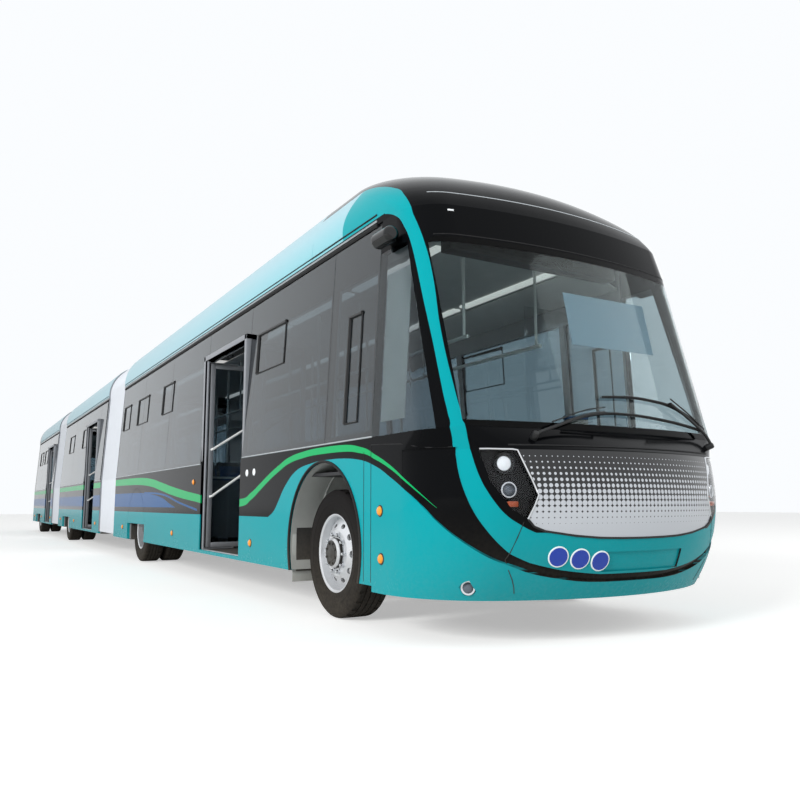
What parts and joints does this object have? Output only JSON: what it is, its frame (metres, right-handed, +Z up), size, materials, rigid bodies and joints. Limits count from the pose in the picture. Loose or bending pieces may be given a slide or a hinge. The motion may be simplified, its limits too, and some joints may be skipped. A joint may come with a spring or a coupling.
{
  "type": "double-articulated bus",
  "caption": "Low-floor city bus of three cars joined by two bellows, with a rounded nose, flush dark windows and open inward-gliding doors on its right side.",
  "frame": {"origin": "on the ground under the middle of the bus's length and width", "axes": "+X forward, +Y to the bus's left, +Z up"},
  "size_m": [25.0852, 2.6762, 3.46],
  "materials": {
    "body_paint": "gloss turquoise coach paint",
    "roof_paint": "gloss pale silver-cyan paint",
    "black_gloss": "gloss black panel",
    "chassis_paint": "satin black chassis paint",
    "glass": "tinted flush glazing",
    "lamp": "clear lamp cover",
    "grille": "silver panel with a dotted fade to black",
    "cabin_plastic": "grained dark plastic",
    "seat": "moulded blue seat shell",
    "bellows": "coated pale grey fabric",
    "tyre": "black tyre rubber",
    "alloy": "polished forged wheel",
    "door_frame": "satin dark grey door frame with glass",
    "steel": "brushed steel tube"
  },
  "bodies": {
    "front_car": {"chassis_front": "chassis_paint", "side_walls_front": "body_paint", "roof_front": "roof_paint", "roof_cap": "black_gloss", "windows_front": "glass", "windscreen": "glass", "nose_mask": "body_paint", "front_bumper": "body_paint", "grille_panel": "grille", "headlamps": "lamp", "camera_mirrors": "black_gloss", "dashboard": "cabin_plastic", "seats_front": "seat", "axles_front": "chassis_paint"},
    "middle_car": {"chassis_middle": "chassis_paint", "side_walls_middle": "body_paint", "roof_middle": "roof_paint", "windows_middle": "glass", "seats_middle": "seat", "axle_middle": "chassis_paint", "bellows_1": "bellows"},
    "rear_car": {"chassis_rear": "chassis_paint", "side_walls_rear": "body_paint", "roof_rear": "roof_paint", "windows_rear": "glass", "seats_rear": "seat", "axle_rear": "chassis_paint", "rear_cap": "body_paint", "tail_lamps": "lamp", "bellows_2": "bellows"},
    "knuckle_right": {"knuckle_right": "chassis_paint"},
    "knuckle_left": {"knuckle_left": "chassis_paint"},
    "wheel_front_right": {"tyre_front_right": "tyre", "rim_front_right": "alloy"},
    "wheel_front_left": {"tyre_front_left": "tyre", "rim_front_left": "alloy"},
    "wheel_drive_right": {"tyres_drive_right": "tyre", "rims_drive_right": "alloy"},
    "wheel_drive_left": {"tyres_drive_left": "tyre", "rims_drive_left": "alloy"},
    "wheel_middle_right": {"tyres_middle_right": "tyre", "rims_middle_right": "alloy"},
    "wheel_middle_left": {"tyres_middle_left": "tyre", "rims_middle_left": "alloy"},
    "wheel_rear_right": {"tyres_rear_right": "tyre", "rims_rear_right": "alloy"},
    "wheel_rear_left": {"tyres_rear_left": "tyre", "rims_rear_left": "alloy"},
    "door_1_front_column": {"door_1_front_column": "steel"},
    "door_1_front_leaf": {"door_1_front_leaf": "door_frame"},
    "door_1_rear_column": {"door_1_rear_column": "steel"},
    "door_1_rear_leaf": {"door_1_rear_leaf": "door_frame"},
    "door_2_front_column": {"door_2_front_column": "steel"},
    "door_2_front_leaf": {"door_2_front_leaf": "door_frame"},
    "door_2_rear_column": {"door_2_rear_column": "steel"},
    "door_2_rear_leaf": {"door_2_rear_leaf": "door_frame"},
    "door_3_front_column": {"door_3_front_column": "steel"},
    "door_3_front_leaf": {"door_3_front_leaf": "door_frame"},
    "door_3_rear_column": {"door_3_rear_column": "steel"},
    "door_3_rear_leaf": {"door_3_rear_leaf": "door_frame"}
  },
  "joints": [
    {"name": "articulation_1", "type": "hinge", "parent": "front_car", "child": "middle_car", "pos_m": [1.305, 0, 0.345], "axis": [0, 0, 1], "range_deg": [-45, 45], "deforming": ["bellows_1"]},
    {"name": "articulation_2", "type": "hinge", "parent": "middle_car", "child": "rear_car", "pos_m": [-6.395, 0, 0.345], "axis": [0, 0, 1], "range_deg": [-45, 45], "deforming": ["bellows_2"]},
    {"name": "steer_right", "type": "hinge", "parent": "front_car", "child": "knuckle_right", "pos_m": [10.56, -0.945, 0.4785], "axis": [0, 0, 1], "range_deg": [-40, 40]},
    {"name": "steer_left", "type": "hinge", "parent": "front_car", "child": "knuckle_left", "pos_m": [10.56, 0.945, 0.4785], "axis": [0, 0, 1], "range_deg": [-40, 40]},
    {"name": "spin_front_right", "type": "hinge", "parent": "knuckle_right", "child": "wheel_front_right", "pos_m": [10.56, -1.05, 0.4785], "axis": [0, 1, 0], "continuous": true},
    {"name": "spin_front_left", "type": "hinge", "parent": "knuckle_left", "child": "wheel_front_left", "pos_m": [10.56, 1.05, 0.4785], "axis": [0, 1, 0], "continuous": true},
    {"name": "spin_drive_right", "type": "hinge", "parent": "front_car", "child": "wheel_drive_right", "pos_m": [3.83, -0.906, 0.4785], "axis": [0, 1, 0], "continuous": true},
    {"name": "spin_drive_left", "type": "hinge", "parent": "front_car", "child": "wheel_drive_left", "pos_m": [3.83, 0.906, 0.4785], "axis": [0, 1, 0], "continuous": true},
    {"name": "spin_middle_right", "type": "hinge", "parent": "middle_car", "child": "wheel_middle_right", "pos_m": [-4.15, -0.906, 0.4785], "axis": [0, 1, 0], "continuous": true},
    {"name": "spin_middle_left", "type": "hinge", "parent": "middle_car", "child": "wheel_middle_left", "pos_m": [-4.15, 0.906, 0.4785], "axis": [0, 1, 0], "continuous": true},
    {"name": "spin_rear_right", "type": "hinge", "parent": "rear_car", "child": "wheel_rear_right", "pos_m": [-10.74, -0.906, 0.4785], "axis": [0, 1, 0], "continuous": true},
    {"name": "spin_rear_left", "type": "hinge", "parent": "rear_car", "child": "wheel_rear_left", "pos_m": [-10.74, 0.906, 0.4785], "axis": [0, 1, 0], "continuous": true},
    {"name": "door_1_front_close", "type": "hinge", "parent": "front_car", "child": "door_1_front_column", "pos_m": [8.594, -1.234, 0.345], "axis": [0, 0, 1], "range_deg": [0, 90]},
    {"name": "door_1_front_glide", "type": "hinge", "parent": "door_1_front_column", "child": "door_1_front_leaf", "pos_m": [8.594, -0.8965, 0.345], "axis": [0, 0, 1], "range_deg": [-180, 0]},
    {"name": "door_1_rear_close", "type": "hinge", "parent": "front_car", "child": "door_1_rear_column", "pos_m": [7.286, -1.234, 0.345], "axis": [0, 0, 1], "range_deg": [-90, 0]},
    {"name": "door_1_rear_glide", "type": "hinge", "parent": "door_1_rear_column", "child": "door_1_rear_leaf", "pos_m": [7.286, -0.8965, 0.345], "axis": [0, 0, 1], "range_deg": [0, 180]},
    {"name": "door_2_front_close", "type": "hinge", "parent": "middle_car", "child": "door_2_front_column", "pos_m": [-0.266, -1.234, 0.345], "axis": [0, 0, 1], "range_deg": [0, 90]},
    {"name": "door_2_front_glide", "type": "hinge", "parent": "door_2_front_column", "child": "door_2_front_leaf", "pos_m": [-0.266, -0.8965, 0.345], "axis": [0, 0, 1], "range_deg": [-180, 0]},
    {"name": "door_2_rear_close", "type": "hinge", "parent": "middle_car", "child": "door_2_rear_column", "pos_m": [-1.574, -1.234, 0.345], "axis": [0, 0, 1], "range_deg": [-90, 0]},
    {"name": "door_2_rear_glide", "type": "hinge", "parent": "door_2_rear_column", "child": "door_2_rear_leaf", "pos_m": [-1.574, -0.8965, 0.345], "axis": [0, 0, 1], "range_deg": [0, 180]},
    {"name": "door_3_front_close", "type": "hinge", "parent": "rear_car", "child": "door_3_front_column", "pos_m": [-7.656, -1.234, 0.345], "axis": [0, 0, 1], "range_deg": [0, 90]},
    {"name": "door_3_front_glide", "type": "hinge", "parent": "door_3_front_column", "child": "door_3_front_leaf", "pos_m": [-7.656, -0.8965, 0.345], "axis": [0, 0, 1], "range_deg": [-180, 0]},
    {"name": "door_3_rear_close", "type": "hinge", "parent": "rear_car", "child": "door_3_rear_column", "pos_m": [-8.964, -1.234, 0.345], "axis": [0, 0, 1], "range_deg": [-90, 0]},
    {"name": "door_3_rear_glide", "type": "hinge", "parent": "door_3_rear_column", "child": "door_3_rear_leaf", "pos_m": [-8.964, -0.8965, 0.345], "axis": [0, 0, 1], "range_deg": [0, 180]}
  ],
  "couplings": [
    {"joint": "steer_left", "follows": "steer_right", "ratio": 1},
    {"joint": "door_1_front_glide", "follows": "door_1_front_close", "ratio": -2},
    {"joint": "door_1_rear_glide", "follows": "door_1_rear_close", "ratio": -2},
    {"joint": "door_2_front_glide", "follows": "door_2_front_close", "ratio": -2},
    {"joint": "door_2_rear_glide", "follows": "door_2_rear_close", "ratio": -2},
    {"joint": "door_3_front_glide", "follows": "door_3_front_close", "ratio": -2},
    {"joint": "door_3_rear_glide", "follows": "door_3_rear_close", "ratio": -2}
  ]
}
